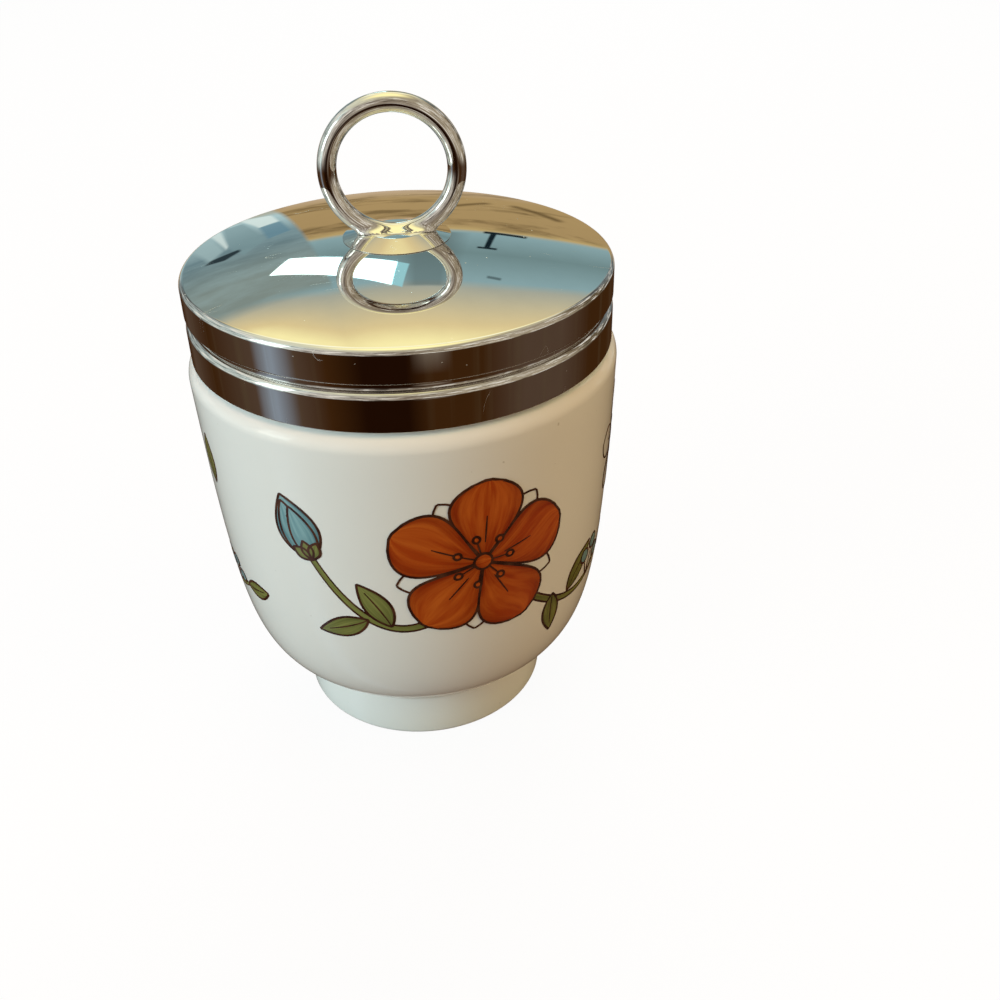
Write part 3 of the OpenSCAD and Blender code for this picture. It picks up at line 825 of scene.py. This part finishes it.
# Bearing from straight behind and height above the middle, in degrees, and a height that droops
# to both sides, as the wall's lines do in the domed lid
around = sums(tree, "DEGREES", sums(tree, "ARCTAN2", spot["X"], spot["Y"]))
level = sums(tree, "DEGREES", sums(tree, "ARCSINE", spot["Z"]))
away = sums(tree, "MAXIMUM", sums(tree, "SUBTRACT", sums(tree, "ABSOLUTE", around), 8.0), 0.0)
droop = product(tree, away, away, 0.02)
bent = sums(tree, "ADD", level, sums(tree, "MINIMUM", droop, 5.0))
grain = noise(tree, here, 2.2, 5, 0.62, (1.0, 1.0, 2.6))
lift = product(tree, spread(tree, around, -10, -21), spread(tree, level, 32, 40, 0, 6))
raised = sums(tree, "ADD", bent, lift)

# Behind the object, seen in the lid: a wooden wall with knots and blue light above it, a glass
# door with its blinds to the left, dark fittings to the right, and the ceiling
wall = ramp(tree, raised, -90, 90, [
    (-14, "dark wood"), (-9, "plaster"), (1, "wood"), (16, "wood"), (18, "pale wood"), (18.4, "blue"),
    (26, "slate"), (34.5, "blue"), (36.6, "stone"), (46, "straw"), (50, "cream"), (55, "ceiling")])
knots = product(tree, spread(tree, grain, 0.52, 0.66), between(tree, bent, -8.0, 17.0, 1))
wall = blended(tree, product(tree, knots, 0.6), wall, paint("knot"))
glass = ramp(tree, level, -10, 40, [(-1, "stone"), (2, "sky"), (14, "deep slate"), (26, "ash")])
glass = blended(tree, spread(tree, grain, 0.4, 0.65, 0, 0.35), glass, paint("sky"))
in_glass = product(tree, spread(tree, around, -8.45, -8.95), spread(tree, level, 35.0, 32.0),
                   spread(tree, level, -4.0, -2.0))
wall = blended(tree, in_glass, wall, glass)
shadows = product(tree, between(tree, around, 0.5, 6.0, 1.2), between(tree, level, 19, 36.2, 0.3))
wall = blended(tree, product(tree, shadows, 0.7), wall, paint("dusk"))
for share, name, soft, corners in (
        (0.95, "bright", 0.15, [(-11.6, -0.6), (-9.4, 1.0), (-9.5, 5.8), (-11.3, 7.0)]),
        (0.8, "steel", 0.2, [(-11.3, 7.1), (-9.4, 6.2), (-9.4, 11.9), (-11.7, 13.5)]),
        (0.7, "blue", 0.2, [(-13.4, 2.6), (-11.7, 2.0), (-11.9, 13.7), (-14.8, 17.2), (-15.2, 13.5)]),
        (0.8, "sky", 0.3, [(-17.4, 7.6), (-14.9, 5.0), (-15.6, 13.0), (-17.8, 15.8)]),
        (0.8, "bright", 0.15, [(-14.7, 4.0), (-13.7, 3.2), (-15.0, 12.0), (-15.4, 12.8)]),
        (0.9, "ink", 0.2, [(-18.4, 16.3), (-17.6, 15.2), (-14.6, 14.4), (-14.6, 15.3), (-16.6, 16.9)]),
        (0.75, "knot", 0.4, [(4.0, 6.4), (6.8, 3.0), (7.3, 3.8), (4.7, 7.0)]),
        (0.75, "knot", 0.4, [(9.0, 3.0), (13.9, 7.8), (13.5, 8.8), (8.7, 4.1)]),
        (1.0, "ink", 0.1, [(8.9, 18.4), (9.5, 18.4), (9.5, 24.0), (8.9, 24.0)]),
        (1.0, "ink", 0.15, [(8.2, 17.9), (12.4, 17.9), (12.4, 18.7), (8.2, 18.7)]),
        (1.0, "ink", 0.12, [(8.2, 23.7), (10.3, 23.7), (10.3, 24.3), (8.2, 24.3)]),
        (0.6, "ink", 0.15, [(10.6, 32.5), (12.4, 32.7), (12.4, 33.4), (10.6, 33.2)]),
        (1.0, "cyan", 0.08, [(-1.6, 35.4), (0.0, 36.5), (1.0, 30.0), (-0.4, 29.2)])):
    shape = within(tree, corners, soft)
    wall = blended(tree, product(tree, shape, share) if share < 1 else shape, wall, paint(name))

# All round it, seen in the bands and the ring: a dark table low down, a bright window to the left,
# dim walls to the right, and a pale ceiling
stretched = wire(tree, "ShaderNodeCombineXYZ", {"X": around, "Y": product(tree, level, 0.05)}).outputs[0]
streaks = noise(tree, stretched, 0.11, 3, 0.6)
patches = noise(tree, here, 1.5, 4, 0.65)
table = ramp(tree, around, -180, 180, [
    (-158, "umber"), (-139, "walnut"), (-122, "oak"), (-106, "daylight"), (-96, "oak"), (-61, "walnut"),
    (-36, "oak"), (40, "walnut"), (65, "walnut"), (90, "oak"), (115, "oak"), (140, "walnut"), (167, "walnut"),
    (180, "umber")])
dark = sums(tree, "ABSOLUTE", sums(tree, "ADD", around, 168))
worn = product(tree, spread(tree, streaks, 0.5, 0.75, 0, 0.4), spread(tree, dark, 12, 30))
table = blended(tree, worn, table, paint("bronze"))
walls = ramp(tree, around, -180, 180, [
    (-180, "drab"), (-130, "chalk"), (-114, "bright"), (-100, "bright"), (-90, "mist"), (-60, "mist"), (-30, "lead"),
    (40, "lead"), (62, "bronze"), (95, "tan"), (150, "tan"), (180, "drab")])
walls = blended(tree, spread(tree, patches, 0.46, 0.38, 0, 0.7), walls, paint("gap"))
walls = blended(tree, spread(tree, patches, 0.54, 0.60, 0, 0.9), walls, paint("white"))
upper = ramp(tree, around, -180, 180, [
    (-180, "putty"), (-100, "linen"), (-50, "linen"), (0, "cream"), (55, "putty"), (100, "drab"), (180, "putty")])
upper = blended(tree, spread(tree, patches, 0.52, 0.66, 0, 0.7), upper, paint("ceiling"))
aside = blended(tree, spread(tree, level, -16, -5, kind="SMOOTHSTEP"), table, walls)
aside = blended(tree, spread(tree, level, 38, 50), aside, upper)
aside = blended(tree, spread(tree, level, 60, 76), aside, paint("cream"))
touched = product(tree, between(tree, around, 160, 174, 4), between(tree, level, -24, -17, 2))
aside = blended(tree, product(tree, touched, 0.8), aside, paint("drab"))
beyond = sums(tree, "MAXIMUM", spread(tree, sums(tree, "ABSOLUTE", around), 25, 33), spread(tree, level, 56, 66))
wall = blended(tree, beyond, wall, aside)

# The windows and the ceiling overhead shine as well
window = within(tree, [(-14.5, 26.5), (-11.5, 23.0), (-0.4, 29.2), (-1.4, 35.6)])
side_window = within(tree, [(-119, 3), (-101, 3), (-101, 30), (-119, 30)], 0.8)
overhead = spread(tree, level, 62, 80, 0, overhead_strength)
shine = sums(tree, "ADD", sums(tree, "MULTIPLY_ADD", window, window_strength, 1.0),
             sums(tree, "MULTIPLY_ADD", side_window, side_strength, overhead))
shining = wire(tree, "ShaderNodeEmission", {"Color": wall, "Strength": shine})
tree.links.new(shining.outputs[0], end.inputs["Surface"])
room.visible_camera = room.visible_diffuse = room.visible_shadow = room.visible_transmission = False

# Soft light: cool daylight from the left, weaker warm light from the right, above and behind, and
# an even world
lamps_aim, even_light = Vector((0, 0, 0.05)), 0.16
for name, at, size, power, colour in (
        ("window_light", (-0.9, -0.45, 0.3), 0.6, 9.6, (0.77, 0.98, 1.0)),
        ("room_light", (0.9, -0.3, 0.2), 0.6, 2.3, (1.0, 0.73, 0.40)),
        ("wall_light", (0.6, -0.4, 0.85), 0.8, 3.2, (1.0, 0.85, 0.36)),
        ("ceiling_light", (-0.1, -0.1, 1.1), 0.8, 4.5, (1.0, 0.42, 0.20)),
        ("back_light", (0.1, 0.8, 0.8), 0.8, 6.0, (0.95, 1.0, 0.97))):
    lamp = bpy.data.lights.new(name, "AREA")
    lamp.size, lamp.energy, lamp.color = size, power, colour
    lit = placed(name, lamp)
    lit.location = at
    lit.rotation_euler = (lamps_aim - Vector(at)).to_track_quat("-Z", "Y").to_euler()
    lit.visible_glossy = False
world = bpy.data.worlds.new("World")
bpy.context.scene.world = world
world.use_nodes = True
tree = world.node_tree
rays = wire(tree, "ShaderNodeLightPath").outputs
plain = sums(tree, "MAXIMUM", rays["Is Camera Ray"], rays["Is Transmission Ray"])
even = wire(tree, "ShaderNodeBackground", {"Color": (1.0, 1.0, 1.0, 1), "Strength": even_light}).outputs[0]
back = wire(tree, "ShaderNodeBackground", {"Color": (1, 1, 1, 1), "Strength": 1.0}).outputs[0]
tree.links.new(wire(tree, "ShaderNodeMixShader", {0: plain, 1: even, 2: back}).outputs[0],
               tree.nodes["World Output"].inputs["Surface"])

# ---------------------------------------------------------------------------------------------
# Camera
# It looks down on the lid from the front, and the object stands left of the picture's middle, as
# in the photograph.

eye_at = (0.00062, -0.16156, 0.14104)
eye_turn, eye_dip, eye_roll = -5.04, 33.40, -1.14
camera = bpy.data.cameras.new("camera")
camera.lens, camera.sensor_width = 39.475, 36.0
camera.clip_start, camera.clip_end = 0.005, 20.0
eye = placed("camera", camera)
eye.matrix_world = (Matrix.Translation(eye_at) @ Matrix.Rotation(math.radians(eye_turn), 4, "Z")
                    @ Matrix.Rotation(math.radians(90 - eye_dip), 4, "X")
                    @ Matrix.Rotation(math.radians(eye_roll), 4, "Z"))
bpy.context.scene.camera = eye
bpy.context.scene.view_settings.view_transform = "Standard"
